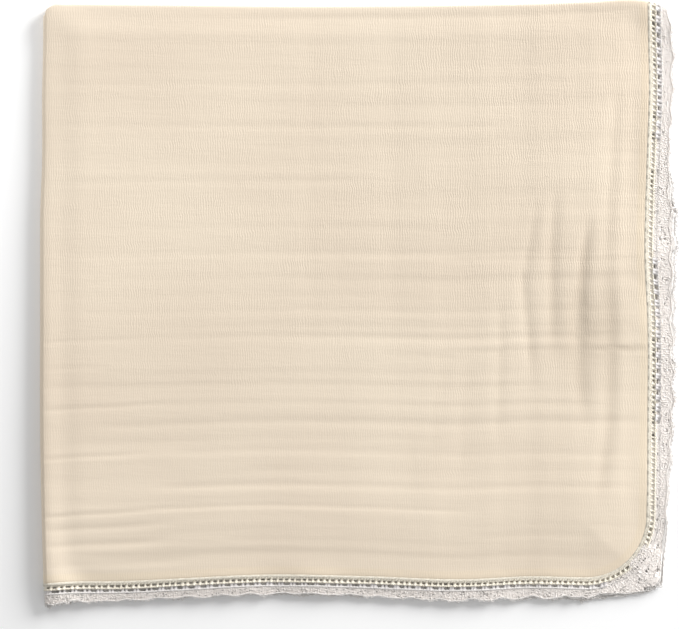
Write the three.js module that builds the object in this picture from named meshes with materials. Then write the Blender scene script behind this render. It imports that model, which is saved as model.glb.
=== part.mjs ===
// A swaddle blanket: one panel of double-gauze muslin with a ring of crocheted lace sewn round its edge,
// folded in quarters and lying flat. Millimetres, +X to the right, +Y towards the top fold, +Z up.
//
// Both pieces are laid out on the open cloth, where a place has two stations. `across` is 0 on the left
// fold, positive on the two upper layers and negative on the two lower ones. `along` is 0 on the top fold,
// positive on the outer layers (the uppermost and the lowest) and negative on the two inner ones.
// place() folds such a place, first about the top fold and then about the left fold.
import * as THREE from "three";

// Sizes of the folded blanket
const FOLDED_WIDTH = 577; // left fold to the right edge of the cloth
const FOLDED_LENGTH = 547; // top fold to the bottom edge of the cloth
const CLOTH_THICKNESS = 1.4;
const LAYER_GAP = 0.9;
const CLOTH_CORNER_RADIUS = 58;
const LEFT_FOLD_SWELL = 0.36; // the folds spring open, so the stack is thicker beside them
const TOP_FOLD_SWELL = 0.28;
const SWELL_REACH = 36;
const TOP_LAYER_LOFT = 1.3; // between its creases, above the layer below
const LOFT_REACH = 60; // it rises over this much from the folds and the edges
const LOFT_MARGIN = 15; // and is none in this much beside the edges
const FOLD_CORNER_RADIUS = 11; // in plan, where the two folds meet
const FOLD_CORNER_DEPTH = 0.6; // share of that corner which is cut off
const FOLD_CORNER_FADE = 30;

// Sizes of the lace
const LACE_WIDTH = 24;
const LACE_THICKNESS = 1.4;
const LACE_SEAM_GAP = 0.45;
const LACE_CORNER_SQUARENESS = 3.9; // 2 would be an arc round the corner of the cloth
const SCALLOP_DEPTH = 3;
const HOLE_NEAR = 7.6; // from the edge of the cloth
const HOLE_FAR = 12.4;
const CELLS_DOWN_RIGHT = 30; // two cells to a scallop, and one hole to a cell
const CELLS_ROUND_CORNER = 6;
const CELLS_ALONG_BOTTOM = 32;
const FOLD_BRIDGE = 8; // plain lace on each side of a fold
const LACE_DROOP = 0.2; // share of the height lost at the outer edge

// Steps
const STEPS_ROUND_TOP_FOLD = 4;
const STEPS_ROUND_LEFT_FOLD = 6;
const STEPS_BESIDE_FOLD = 3; // over the reach of the swell
const STEPS_IN_CORNER = 4;
const LEAST_STEP = 1; // a line nearer than this to the next stretch is left out

// The outline wanders. Each row gives, at a distance down the blanket, how far outwards the left fold and
// the right edge of the cloth in each layer stand, and the outer edge of the top layer's lace. Layers that
// are joined by the top fold share the first row.
const SIDES = [
  { at: 0, fold: -2.1, top: 0.5, second: 0.5, third: -0.8, bottom: -0.8, lace: -5 },
  { at: 24, fold: -2.1, top: 0.9, second: 0.2, third: -0.8, bottom: -1.5, lace: 0.6 },
  { at: 80, fold: -1.1, top: 1.9, second: 0.5, third: -1.5, bottom: 0, lace: 0.5 },
  { at: 142, fold: -1.1, top: 0, second: -0.5, third: 1, bottom: -2, lace: -3 },
  { at: 202, fold: 0.8, top: -1.9, second: 2.6, third: 0.5, bottom: -1.5, lace: 0.4 },
  { at: 236, fold: 0.8, top: -2.4, second: 2.7, third: -1, bottom: -0.5, lace: 0 },
  { at: 300, fold: 0.8, top: 0.4, second: 1.5, third: 2, bottom: -1.5, lace: 0.8 },
  { at: 396, fold: 0.8, top: 0.5, second: 1.8, third: -0.5, bottom: 0.5, lace: 0.8 },
  { at: 460, fold: -0.2, top: 0.1, second: 0.5, third: 1.5, bottom: -1.5, lace: -4.5 },
  { at: 487, fold: -0.8, top: -0.5, second: 1.2, third: -1, bottom: -2, lace: -6.5 },
  { at: 571, fold: -3.2, top: -1.5, second: 1, third: 0.5, bottom: -2, lace: -14 },
];

// The same at a distance to the right, for the top fold and the bottom edges. Layers that are joined by
// the left fold share the first row.
const ENDS = [
  { at: 0, fold: 0, top: 4, second: 3, third: 3, bottom: 4, lace: 2 },
  { at: 24, fold: 0, top: 2.6, second: 2.4, third: 1.4, bottom: 2, lace: 0.5 },
  { at: 66, fold: -0.5, top: 2.4, second: 0, third: 1, bottom: -1, lace: -3 },
  { at: 130, fold: -1, top: -0.5, second: -1, third: -2.5, bottom: -2, lace: -5.5 },
  { at: 200, fold: -1.9, top: -3.8, second: -3, third: -5, bottom: -4.5, lace: -9.3 },
  { at: 306, fold: -1.9, top: -2.4, second: -2, third: -4, bottom: -3, lace: -7.4 },
  { at: 398, fold: -1, top: 0.5, second: -1.5, third: -1, bottom: -2, lace: -2 },
  { at: 461, fold: 0.2, top: -2.2, second: -1, third: -3.5, bottom: -3, lace: -5.5 },
  { at: 515, fold: 2, top: -1.2, second: -2, third: -0.5, bottom: -3, lace: -4 },
  { at: 573, fold: 2.8, top: -1.2, second: 0.5, third: -1, bottom: -3, lace: -12 },
  { at: 601, fold: -6, top: -1.2, second: 0.5, third: -1, bottom: -3, lace: -12 },
];

// Main creases of the top layer, as soft troughs. `from` and `to` are the ends of each one.
const CREASE_HALF_WIDTH = 9;
const CREASE_END_FADE = 50;
const LEVEL_CREASES = [
  { down: 116, from: 20, to: 430, depth: 0.8 },
  { down: 168, from: 30, to: 300, depth: 0.9 },
  { down: 236, from: 60, to: 480, depth: 0.8 },
  { down: 300, from: 60, to: 560, depth: 0.9 },
  { down: 364, from: 0, to: 420, depth: 1.1 },
  { down: 396, from: 120, to: 540, depth: 0.8 },
  { down: 428, from: 0, to: 470, depth: 1.1 },
  { down: 460, from: 40, to: 520, depth: 0.9 },
];
const UPRIGHT_CREASES = [
  { right: 461, from: 200, to: 400, depth: 0.7 },
  { right: 489, from: 190, to: 420, depth: 0.8 },
  { right: 515, from: 230, to: 340, depth: 1.2 },
];

// Sizes that follow
const LAYER_PITCH = CLOTH_THICKNESS + LAYER_GAP;
const PAIR_HEIGHT = CLOTH_THICKNESS + LAYER_PITCH;
const STACK_HEIGHT = CLOTH_THICKNESS + 3 * LAYER_PITCH;
const TOP_FOLD_RADIUS = LAYER_PITCH / 2;
const TOP_FOLD_ARC = (TOP_FOLD_RADIUS * Math.PI) / 2;
const LEFT_FOLD_RADIUS = (3 * LAYER_PITCH) / 2;
const LEFT_FOLD_ARC = (LEFT_FOLD_RADIUS * Math.PI) / 2;
const CLOTH_RIGHT = FOLDED_WIDTH - STACK_HEIGHT / 2; // from the turning point of the fold to the edge
const CLOTH_DOWN = FOLDED_LENGTH - PAIR_HEIGHT / 2;
const HALF_ACROSS = CLOTH_RIGHT + LEFT_FOLD_ARC; // the same on the open cloth
const HALF_ALONG = CLOTH_DOWN + TOP_FOLD_ARC;

const { clamp, lerp, smoothstep } = THREE.MathUtils;

// The value of one column of SIDES or ENDS, level past the first and last row.
function wander(rows, column, at) {
  const next = rows.findIndex((row) => row.at > at);
  if (next === 0) return rows[0][column];
  if (next < 0) return rows[rows.length - 1][column];
  const before = rows[next - 1];
  const after = rows[next];
  return lerp(before[column], after[column], (at - before.at) / (after.at - before.at));
}

// About the top fold: `out` is the distance outwards from the middle of the cloth.
function foldTop(along, out) {
  const radius = TOP_FOLD_RADIUS + out;
  const turn = clamp(along / TOP_FOLD_RADIUS, -Math.PI / 2, Math.PI / 2);
  const straight = Math.max(Math.abs(along) - TOP_FOLD_ARC, 0);
  return { down: straight - radius * Math.cos(turn), depth: PAIR_HEIGHT / 2 - radius * Math.sin(turn) };
}

// About the left fold: `depth` is the distance inwards from the outer face of the folded pair.
function foldLeft(across, depth) {
  const radius = STACK_HEIGHT / 2 - depth;
  const turn = clamp(across / LEFT_FOLD_RADIUS, -Math.PI / 2, Math.PI / 2);
  const straight = Math.max(Math.abs(across) - LEFT_FOLD_ARC, 0);
  return { right: straight - radius * Math.cos(turn), up: STACK_HEIGHT / 2 + radius * Math.sin(turn) };
}

function layerOf(across, along) {
  if (across > 0) return along > 0 ? "top" : "second";
  return along > 0 ? "bottom" : "third";
}

// How far one side of the outline stands out on a layer, `share` of the way from its fold to its edge and
// `intoLace` of the way across the lace.
function outward(rows, layer, at, share, intoLace) {
  const lace = wander(rows, "lace", at) - wander(rows, "top", at);
  return lerp(-wander(rows, "fold", at), wander(rows, layer, at), share) + lace * intoLace;
}

// How much the rounded corner between the folds cuts off, downwards.
function foldCornerCut(right, down) {
  const fromTip = clamp(right + STACK_HEIGHT / 2, 0, FOLD_CORNER_RADIUS);
  const rise = Math.sqrt(FOLD_CORNER_RADIUS ** 2 - (FOLD_CORNER_RADIUS - fromTip) ** 2);
  return (FOLD_CORNER_RADIUS - rise) * FOLD_CORNER_DEPTH * Math.exp(-Math.max(down, 0) / FOLD_CORNER_FADE);
}

// The depth of one crease: `off` is the distance from its line, `at` the place along it.
function trough(crease, off, at) {
  const begins = smoothstep(at, crease.from - CREASE_END_FADE, crease.from);
  const ends = 1 - smoothstep(at, crease.to, crease.to + CREASE_END_FADE);
  return crease.depth * begins * ends * Math.exp(-((off / CREASE_HALF_WIDTH) ** 2));
}

// How far the top layer stands above the layer below, beyond the plain gap.
function loftAt(right, down) {
  const fromFolds = smoothstep(right, 0, LOFT_REACH) * smoothstep(down, 0, LOFT_REACH);
  const fromRight = 1 - smoothstep(right, CLOTH_RIGHT - LOFT_REACH, CLOTH_RIGHT - LOFT_MARGIN);
  const fromBottom = 1 - smoothstep(down, CLOTH_DOWN - LOFT_REACH, CLOTH_DOWN - LOFT_MARGIN);
  let dip = 0;
  for (const crease of LEVEL_CREASES) dip += trough(crease, down - crease.down, right);
  for (const crease of UPRIGHT_CREASES) dip += trough(crease, right - crease.right, down);
  return Math.max(TOP_LAYER_LOFT - dip, 0) * fromFolds * fromRight * fromBottom;
}

// The height of the stack at a place, as a share of its height where it lies level.
function heightShare(right, down) {
  const leftSwell = LEFT_FOLD_SWELL * (1 - smoothstep(right, 0, SWELL_REACH));
  const topSwell = TOP_FOLD_SWELL * (1 - smoothstep(down, 0, SWELL_REACH));
  const outRight = smoothstep(right, CLOTH_RIGHT - LACE_WIDTH, CLOTH_RIGHT + LACE_WIDTH);
  const outDown = smoothstep(down, CLOTH_DOWN - LACE_WIDTH, CLOTH_DOWN + LACE_WIDTH);
  return (1 + leftSwell + topSwell) * (1 - LACE_DROOP * Math.max(outRight, outDown));
}

// The folded place of a station, `out` from the middle of the cloth.
function place(across, along, out) {
  const { down, depth } = foldTop(along, out);
  const { right, up } = foldLeft(across, depth);
  const layer = layerOf(across, along);
  const shareRight = clamp(right / CLOTH_RIGHT, 0, 1);
  const shareDown = clamp(down / CLOTH_DOWN, 0, 1);
  const intoLaceRight = clamp((right - CLOTH_RIGHT) / LACE_WIDTH, 0, 1);
  const intoLaceDown = clamp((down - CLOTH_DOWN) / LACE_WIDTH, 0, 1);
  const x = right + outward(SIDES, layer, down, shareRight, intoLaceRight);
  const y = down + outward(ENDS, layer, right, shareDown, intoLaceDown) + foldCornerCut(right, down);
  const loft = layer === "top" ? loftAt(right, down) : 0;
  return new THREE.Vector3(x, -y, up * heightShare(right, down) + loft);
}

// Equal steps from one value to another, without the first.
function steps(from, to, count) {
  return Array.from({ length: count }, (_, i) => lerp(from, to, (i + 1) / count));
}

// Stations of one direction of the cloth, from its edge on the hidden side to its edge on the top layer.
function clothLines(fold, foldSteps, half, outline, creases) {
  const corner = half - CLOTH_CORNER_RADIUS;
  const swell = fold + SWELL_REACH;
  const isOpen = (at) => at > swell + LEAST_STEP && at < corner - LEAST_STEP;
  const hidden = outline.map((row) => row.at + fold).filter(isOpen);
  const creased = creaseLines(creases.map((at) => at + fold)).filter(isOpen);
  const shown = [...new Set([...hidden, ...creased])].sort((a, b) => a - b);
  return [
    -half,
    ...steps(-half, -corner, STEPS_IN_CORNER),
    ...hidden.map((at) => -at).reverse(),
    -swell,
    ...steps(-swell, -fold, STEPS_BESIDE_FOLD),
    ...steps(-fold, fold, foldSteps),
    ...steps(fold, swell, STEPS_BESIDE_FOLD),
    ...shown,
    corner,
    ...steps(corner, half, STEPS_IN_CORNER),
  ];
}

// The lines of the creases and the lines halfway between them.
function creaseLines(centres) {
  return centres.flatMap((centre, i) => (i ? [(centres[i - 1] + centre) / 2, centre] : [centre]));
}

// Draws the four corner squares of the cloth in to quarter discs.
function roundCorner(across, along) {
  const intoAcross = (Math.abs(across) - HALF_ACROSS) / CLOTH_CORNER_RADIUS + 1;
  const intoAlong = (Math.abs(along) - HALF_ALONG) / CLOTH_CORNER_RADIUS + 1;
  if (intoAcross <= 0 || intoAlong <= 0) return [across, along];
  const drawnAcross = intoAcross * Math.sqrt(1 - intoAlong ** 2 / 2);
  const drawnAlong = intoAlong * Math.sqrt(1 - intoAcross ** 2 / 2);
  return [
    Math.sign(across) * (HALF_ACROSS + (drawnAcross - 1) * CLOTH_CORNER_RADIUS),
    Math.sign(along) * (HALF_ALONG + (drawnAlong - 1) * CLOTH_CORNER_RADIUS),
  ];
}

// A closed sheet over a grid of stations, folded. The rows run on from the last to the first where the
// sheet is a ring, and isHole(row, column) says which cells are left open.
function sheetGeometry({ grid, thickness, ring = false, isHole = () => false }) {
  const rows = grid.length;
  const columns = grid[0].length;
  const cellRows = ring ? rows : rows - 1;
  const faces = [thickness / 2, -thickness / 2];
  const points = faces.flatMap((out) => grid.flat().map(([across, along]) => place(across, along, out)));
  const vertex = (face, [row, column]) => (face * rows + (row % rows)) * columns + column;
  const isCloth = (row, column) => {
    if (column < 0 || column > columns - 2) return false;
    if (!ring && (row < 0 || row >= cellRows)) return false;
    return !isHole((row + cellRows) % cellRows, column);
  };
  const index = [];
  const pushFace = (a, b, c, d) => index.push(a, b, c, a, c, d);
  for (let row = 0; row < cellRows; row++) {
    for (let column = 0; column < columns - 1; column++) {
      if (!isCloth(row, column)) continue;
      const corners = [[row, column], [row + 1, column], [row + 1, column + 1], [row, column + 1]];
      const neighbours = [[row, column - 1], [row + 1, column], [row, column + 1], [row - 1, column]];
      pushFace(...corners.map((corner) => vertex(0, corner)));
      pushFace(...corners.map((corner) => vertex(1, corner)).reverse());
      neighbours.forEach((neighbour, side) => {
        if (isCloth(...neighbour)) return;
        const from = corners[side];
        const to = corners[(side + 1) % 4];
        pushFace(vertex(1, from), vertex(1, to), vertex(0, to), vertex(0, from));
      });
    }
  }
  const geometry = new THREE.BufferGeometry();
  geometry.setAttribute("position", new THREE.Float32BufferAttribute(points.flatMap((p) => p.toArray()), 3));
  geometry.setIndex(index);
  geometry.computeVertexNormals();
  return geometry;
}

function muslinGeometry() {
  const upright = UPRIGHT_CREASES.map((crease) => crease.right);
  const level = LEVEL_CREASES.map((crease) => crease.down);
  const acrossLines = clothLines(LEFT_FOLD_ARC, STEPS_ROUND_LEFT_FOLD, HALF_ACROSS, ENDS, upright);
  const alongLines = clothLines(TOP_FOLD_ARC, STEPS_ROUND_TOP_FOLD, HALF_ALONG, SIDES, level);
  const grid = alongLines.map((along) => acrossLines.map((across) => roundCorner(across, along)));
  return sheetGeometry({ grid, thickness: CLOTH_THICKNESS });
}

// Where the edge of the cloth passes, `run` along it from the top fold to the left fold, and which way
// the lace stands out from it there.
const SIDE_END = HALF_ALONG - CLOTH_CORNER_RADIUS;
const CORNER_END = SIDE_END + (CLOTH_CORNER_RADIUS * Math.PI) / 2;
const QUARTER_END = CORNER_END + HALF_ACROSS - CLOTH_CORNER_RADIUS;

function edgeAt(run) {
  const turn = clamp((run - SIDE_END) / CLOTH_CORNER_RADIUS, 0, Math.PI / 2);
  const beforeCorner = Math.min(run - SIDE_END, 0);
  const afterCorner = Math.max(run - CORNER_END, 0);
  return {
    across: HALF_ACROSS - CLOTH_CORNER_RADIUS * (1 - Math.cos(turn)) - afterCorner,
    along: HALF_ALONG - CLOTH_CORNER_RADIUS * (1 - Math.sin(turn)) + beforeCorner,
    turn,
  };
}

// The lace is of one width along the sides and flares to a squarer corner, beyond its holes.
function stretched(distance, turn) {
  if (distance <= HOLE_FAR) return distance;
  const power = LACE_CORNER_SQUARENESS;
  const square = (Math.cos(turn) ** power + Math.sin(turn) ** power) ** (-1 / power);
  const reach = (CLOTH_CORNER_RADIUS + LACE_WIDTH) * square - CLOTH_CORNER_RADIUS;
  return HOLE_FAR + ((distance - HOLE_FAR) * (reach - HOLE_FAR)) / (LACE_WIDTH - HOLE_FAR);
}

// The steps of one quarter of the lace. `rise` is how far the scallop has risen, from 0 to 1, and
// `opens` says that the step which starts there is a hole.
function quarterOfLace() {
  const plain = (run) => ({ run, rise: 0, opens: false });
  const lacy = ({ from, to, cells }) =>
    [from, ...steps(from, to, 2 * cells)].slice(0, -1).map((run, half) => ({
      run,
      rise: (1 - Math.cos((half * Math.PI) / 2)) / 2,
      opens: half % 2 === 1,
    }));
  const lastBridge = QUARTER_END - FOLD_BRIDGE;
  const leftFold = QUARTER_END - LEFT_FOLD_ARC;
  return [
    plain(0),
    ...steps(0, TOP_FOLD_ARC, STEPS_ROUND_TOP_FOLD / 2).map(plain),
    ...lacy({ from: FOLD_BRIDGE, to: SIDE_END, cells: CELLS_DOWN_RIGHT }),
    ...lacy({ from: SIDE_END, to: CORNER_END, cells: CELLS_ROUND_CORNER }),
    ...lacy({ from: CORNER_END, to: lastBridge, cells: CELLS_ALONG_BOTTOM }),
    plain(lastBridge),
    plain(leftFold),
    ...steps(leftFold, QUARTER_END, STEPS_ROUND_LEFT_FOLD / 2).map(plain),
  ];
}

function laceGeometry() {
  const forward = quarterOfLace();
  const last = forward.length - 1;
  const backward = forward.map((_, i) => ({ ...forward[last - i], opens: forward[last - i - 1]?.opens }));
  const quarters = [
    { across: 1, along: 1, stretch: forward },
    { across: -1, along: 1, stretch: backward },
    { across: -1, along: -1, stretch: forward },
    { across: 1, along: -1, stretch: backward },
  ];
  const ring = quarters.flatMap((quarter) => {
    return quarter.stretch.slice(0, -1).map((step) => ({ ...step, quarter }));
  });
  const grid = ring.map(({ run, rise, quarter }) => {
    const edge = edgeAt(run);
    const outer = LACE_WIDTH - SCALLOP_DEPTH * (1 - rise);
    return [LACE_SEAM_GAP, HOLE_NEAR, HOLE_FAR, outer].map((distance) => {
      const reach = stretched(distance, edge.turn);
      return [
        quarter.across * (edge.across + reach * Math.cos(edge.turn)),
        quarter.along * (edge.along + reach * Math.sin(edge.turn)),
      ];
    });
  });
  const isHole = (row, column) => column === 1 && ring[row].opens;
  return sheetGeometry({ grid, thickness: LACE_THICKNESS, ring: true, isHole });
}

function part(name, geometry, color) {
  const material = new THREE.MeshStandardMaterial({ color, roughness: 0.9, metalness: 0 });
  const mesh = new THREE.Mesh(geometry, material);
  mesh.name = name;
  return mesh;
}

const blanket = new THREE.Group();
blanket.add(part("muslin", muslinGeometry(), "#e6d7c4"));
blanket.add(part("lace_trim", laceGeometry(), "#e9e2dc"));

// The origin is under the middle of the blanket, on the surface that it lies on.
const box = new THREE.Box3().setFromObject(blanket);
const middle = box.getCenter(new THREE.Vector3());
blanket.position.set(-middle.x, -middle.y, -box.min.z);

export default blanket;
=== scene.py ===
"""Looks of the folded swaddle blanket: double-gauze muslin with a crocheted lace edging.

The cloth and the lace are laid out on the open blanket and folded in quarters by the same map as the CAD
source, in millimetres, and scaled to metres at the end. `across` and `along` are stations on the open
cloth, 0 on the left fold and on the top fold. `right` and `down` are distances on the folded blanket.
"""

import math

import bpy
import numpy as np
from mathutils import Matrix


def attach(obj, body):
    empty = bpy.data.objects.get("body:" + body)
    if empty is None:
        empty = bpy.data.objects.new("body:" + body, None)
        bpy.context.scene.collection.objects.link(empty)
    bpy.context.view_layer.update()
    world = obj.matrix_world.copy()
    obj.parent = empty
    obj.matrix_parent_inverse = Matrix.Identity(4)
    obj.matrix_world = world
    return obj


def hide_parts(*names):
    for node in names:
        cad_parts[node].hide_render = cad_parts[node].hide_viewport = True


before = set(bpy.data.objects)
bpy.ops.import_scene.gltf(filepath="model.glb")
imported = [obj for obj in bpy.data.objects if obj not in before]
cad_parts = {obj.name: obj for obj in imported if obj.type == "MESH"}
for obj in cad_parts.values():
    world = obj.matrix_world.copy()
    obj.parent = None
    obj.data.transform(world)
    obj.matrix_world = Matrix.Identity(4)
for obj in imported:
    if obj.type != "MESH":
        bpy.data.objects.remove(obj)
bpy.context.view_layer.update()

# ---------- sizes, mm
MM = 0.001
ORIGIN_RIGHT = 298.44  # from the corner between the folds to the middle of the blanket
ORIGIN_DOWN = 282.67

FOLDED_WIDTH = 577.0
FOLDED_LENGTH = 547.0
CLOTH_THICKNESS = 1.4
LAYER_GAP = 0.9
CORNER_RADIUS = 58.0
HEM_WIDTH = 7.5
HEM_EXTRA = 0.12  # what the double hem adds on each face
LEFT_FOLD_SWELLS = (0.162, 0.63)  # how much higher the left fold stands, at its top and at its bottom
TOP_FOLD_SWELL = 0.28
SWELL_REACH = 36.0
TOP_HEIGHT = 9.9  # of the top layer's middle, where it lies open
EDGE_FALL = 2.9  # how far it falls from there to the loose edges
LOWEST_LIFT = -0.25  # of the top layer from its place in the even stack
FOLD_CORNER_RADIUS = 11.0
FOLD_CORNER_DEPTH = 0.95
FOLD_CORNER_FADE = 34.0
LACE_WIDTH = 24.0
LACE_DROOP = 0.2
LACE_SQUARENESS = 3.9
CORNER_SINK = 0.34  # of the height, where the layers are pressed down at the corner of the lace
EDGE_SINK = 0.09  # and along the edge of the lace
ROWS_END = 12.4  # of the lace's two rows of spaces, which keep their width all round

LAYER_PITCH = CLOTH_THICKNESS + LAYER_GAP
PAIR_HEIGHT = CLOTH_THICKNESS + LAYER_PITCH
STACK_HEIGHT = CLOTH_THICKNESS + 3 * LAYER_PITCH
TOP_RADIUS = LAYER_PITCH / 2
TOP_ARC = TOP_RADIUS * math.pi / 2
LEFT_RADIUS = 3 * LAYER_PITCH / 2
LEFT_ARC = LEFT_RADIUS * math.pi / 2
CLOTH_RIGHT = FOLDED_WIDTH - STACK_HEIGHT / 2
CLOTH_DOWN = FOLDED_LENGTH - PAIR_HEIGHT / 2
HALF_ACROSS = CLOTH_RIGHT + LEFT_ARC
HALF_ALONG = CLOTH_DOWN + TOP_ARC

# How far outwards each layer's outline stands, as in the CAD source:
# at, fold, top, second, third, bottom, lace
SIDES = np.array([
    (0, -2.1, 0.5, 0.5, -0.8, -0.8, -5),
    (24, -2.1, 0.9, 0.2, -0.8, -1.5, 0.6),
    (80, -1.1, 1.9, 0.5, -1.5, 0, 0.5),
    (142, -1.1, 0, -0.5, 1, -2, -3),
    (202, 0.8, -1.9, 2.6, 0.5, -1.5, 0.4),
    (236, 0.8, -2.4, 2.7, -1, -0.5, 0),
    (300, 0.8, 0.4, 1.5, 2, -1.5, 0.8),
    (396, 0.8, 0.5, 1.8, -0.5, 0.5, 0.8),
    (460, -0.2, 0.1, 0.5, 1.5, -1.5, -4.5),
    (487, -0.8, -0.5, 1.2, -1, -2, -6.5),
    (571, -3.2, -1.5, 1, 0.5, -2, -14),
])
ENDS = np.array([
    (0, 0, 4, 3, 3, 4, 2),
    (24, 0, 2.6, 2.4, 1.4, 2, 0.5),
    (66, -0.5, 2.4, 0, 1, -1, -3),
    (130, -1, -0.5, -1, -2.5, -2, -5.5),
    (200, -1.9, -3.8, -3, -5, -4.5, -9.3),
    (306, -1.9, -2.4, -2, -4, -3, -7.4),
    (398, -1, 0.5, -1.5, -1, -2, -2),
    (461, 0.2, -2.2, -1, -3.5, -3, -5.5),
    (515, 2, -1.2, -2, -0.5, -3, -4),
    (573, 2.8, -1.2, 0.5, -1, -3, -12),
    (601, -6, -1.2, 0.5, -1, -3, -12),
])
FOLD, TOP, SECOND, THIRD, BOTTOM, LACE = range(1, 7)

# Creases that run to the right on the top layer:
# down at the left end, down at the right end, from, to, depth, half width
LEVEL_CREASES = [
    (9.5, 8, 185, 560, 0.3, 3.2),
    (35, 34, 20, 470, 0.16, 4.5),
    (54, 56, 250, 560, 0.14, 5),
    (74, 72, 10, 500, 0.18, 4.5),
    (93, 95, 150, 520, 0.14, 4),
    (113, 114, 15, 430, 0.26, 4),
    (133, 134, 200, 560, 0.14, 4.5),
    (149, 150, 20, 300, 0.15, 4.5),
    (167, 166, 25, 300, 0.28, 4),
    (188, 190, 60, 540, 0.16, 5),
    (211, 210, 30, 360, 0.18, 4.5),
    (236, 235, 20, 520, 0.26, 4),
    (241, 243, 390, 566, 0.26, 2.6),
    (259, 258, 60, 560, 0.2, 4),
    (275, 276, 10, 330, 0.16, 4),
    (291, 290, 30, 540, 0.26, 4),
    (306, 305, 90, 560, 0.24, 3.6),
    (319, 314, -25, 110, 0.36, 2.4),
    (315, 315, 120, 540, 0.26, 3.4),
    (328, 328, 528, 580, 1, 2.4),
    (328, 327, 400, 505, 0.35, 3),
    (333, 334, 330, 560, 0.2, 4),
    (344, 342, -25, 50, 0.3, 2.6),
    (350, 349, 100, 460, 0.2, 4),
    (360, 361, 0, 470, 0.34, 3.6),
    (383, 377, -25, 110, 0.4, 2.3),
    (378, 379, 110, 520, 0.28, 3.6),
    (397, 396, 60, 560, 0.34, 4),
    (413, 412, 30, 380, 0.22, 4),
    (429, 424, -25, 90, 0.4, 2.3),
    (425, 427, 130, 560, 0.3, 4),
    (443, 442, 200, 560, 0.22, 4.5),
    (457, 458, 120, 560, 0.34, 3.6),
    (484, 477, -25, 110, 0.4, 2.2),
    (477, 479, 110, 400, 0.34, 2.4),
    (496, 491, -25, 110, 0.42, 3.2),
    (493, 495, 240, 560, 0.2, 4.5),
    (505, 504, 420, 530, 0.26, 3.6),
    (511, 507, -25, 110, 0.48, 3.8),
    (510, 512, 180, 420, 0.2, 4),
    (521, 522, 40, 300, 0.24, 4),
    (523, 524, 300, 540, 0.24, 3.4),
    (530, 527, -25, 130, 0.3, 3.6),
]

# Creases that run downwards: right at the top end, right at the bottom end, from, to, depth, half width
UPRIGHT_CREASES = [
    (252, 254, 20, 330, 0.22, 7),
    (330, 334, 30, 300, 0.14, 8),
    (378, 366, 330, 440, 0.3, 5),
    (401, 397, 340, 450, 0.34, 5),
    (348, 348, 410, 480, 0.24, 5),
    (433, 430, 290, 410, 0.4, 4.5),
    (468, 456, 195, 270, 0.6, 3.8),
    (456, 462, 265, 350, 0.65, 4.2),
    (486, 482, 190, 320, 0.75, 5),
    (518, 506, 215, 305, 1.15, 4.8),
    (507, 506, 290, 332, 1.7, 6),
    (507, 511, 345, 385, 0.8, 6.5),
    (542, 537, 90, 250, 0.6, 6),
    (537, 536, 265, 400, 0.8, 7),
    (535, 527, 400, 470, 0.75, 7),
    (556, 554, 90, 480, 0.3, 7),
]

# Broad hollows and swells: right, down, reach to the right, reach down, height
SWELLS = [
    (512, 318, 36, 66, -1.5),
    (545, 250, 26, 120, 0.5),
    (455, 420, 60, 50, -0.4),
    (430, 110, 110, 70, 0.5),
    (190, 160, 150, 110, -0.3),
    (150, 330, 110, 60, 0.35),
    (330, 470, 150, 40, 0.4),
    (70, 500, 70, 26, -0.35),
    (530, 470, 40, 50, 0.4),
]
DEEP_SWELL = -1.0  # a hollow deeper than this gets painted shade as the creases do, by this share of its depth
SWELL_PAINTED_SHADE = 0.8

# Soft ripples: length, height, how far one runs before it bends, phase
RIPPLES_LEVEL = [
    (13.3, 0.035, 190, 0.4),
    (17.1, 0.045, 260, 2.1),
    (27.0, 0.06, 330, 1.3),
    (44.0, 0.09, 240, 3.0),
]
RIPPLES_UPRIGHT = [
    (26.0, 0.05, 120, 0.9),
    (61.0, 0.14, 170, 2.6),
]

# The cloth's texture, m
PLEAT = 0.0023
WEAVE = 0.0008

rng = np.random.default_rng(7)


# ---------- the fold map
def smoothstep(value, low, high):
    share = np.clip((value - low) / (high - low), 0, 1)
    return share * share * (3 - 2 * share)


def lerp(start, end, share):
    return start + (end - start) * share


def shares(count):
    """A row of evenly spaced shares from 0 to 1."""
    return np.linspace(0, 1, count)[None, :]


def unit(vectors):
    return vectors / (np.linalg.norm(vectors, axis=-1, keepdims=True) + 1e-9)


def curve(rows, column, at):
    """A smooth curve through one column of a table, level past its ends."""
    places, values = rows[:, 0], rows[:, column]
    slopes = np.gradient(values, places)
    i = np.clip(np.searchsorted(places, at) - 1, 0, len(places) - 2)
    gap = places[i + 1] - places[i]
    t = np.clip((at - places[i]) / gap, 0, 1)
    rest = 1 - t
    start = (1 + 2 * t) * rest * rest * values[i] + t * rest * rest * gap * slopes[i]
    end = t * t * (3 - 2 * t) * values[i + 1] - t * t * rest * gap * slopes[i + 1]
    return start + end


def fold_top(along, out):
    """Folds the top half under: how far down a station lies, and how deep in its pair of layers."""
    radius = TOP_RADIUS + out
    turn = np.clip(along / TOP_RADIUS, -math.pi / 2, math.pi / 2)
    straight = np.maximum(np.abs(along) - TOP_ARC, 0)
    return straight - radius * np.cos(turn), PAIR_HEIGHT / 2 - radius * np.sin(turn)


def fold_left(across, depth):
    """Folds the left half of the pair under: how far right a station lies, and how high."""
    radius = STACK_HEIGHT / 2 - depth
    turn = np.clip(across / LEFT_RADIUS, -math.pi / 2, math.pi / 2)
    straight = np.maximum(np.abs(across) - LEFT_ARC, 0)
    return straight - radius * np.cos(turn), STACK_HEIGHT / 2 + radius * np.sin(turn)


def of_layer(rows, across, along, at):
    """The outline of the layer that a station lies in."""
    upper = np.where(along > 0, curve(rows, TOP, at), curve(rows, SECOND, at))
    lower = np.where(along > 0, curve(rows, BOTTOM, at), curve(rows, THIRD, at))
    return np.where(across > 0, upper, lower)


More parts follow.
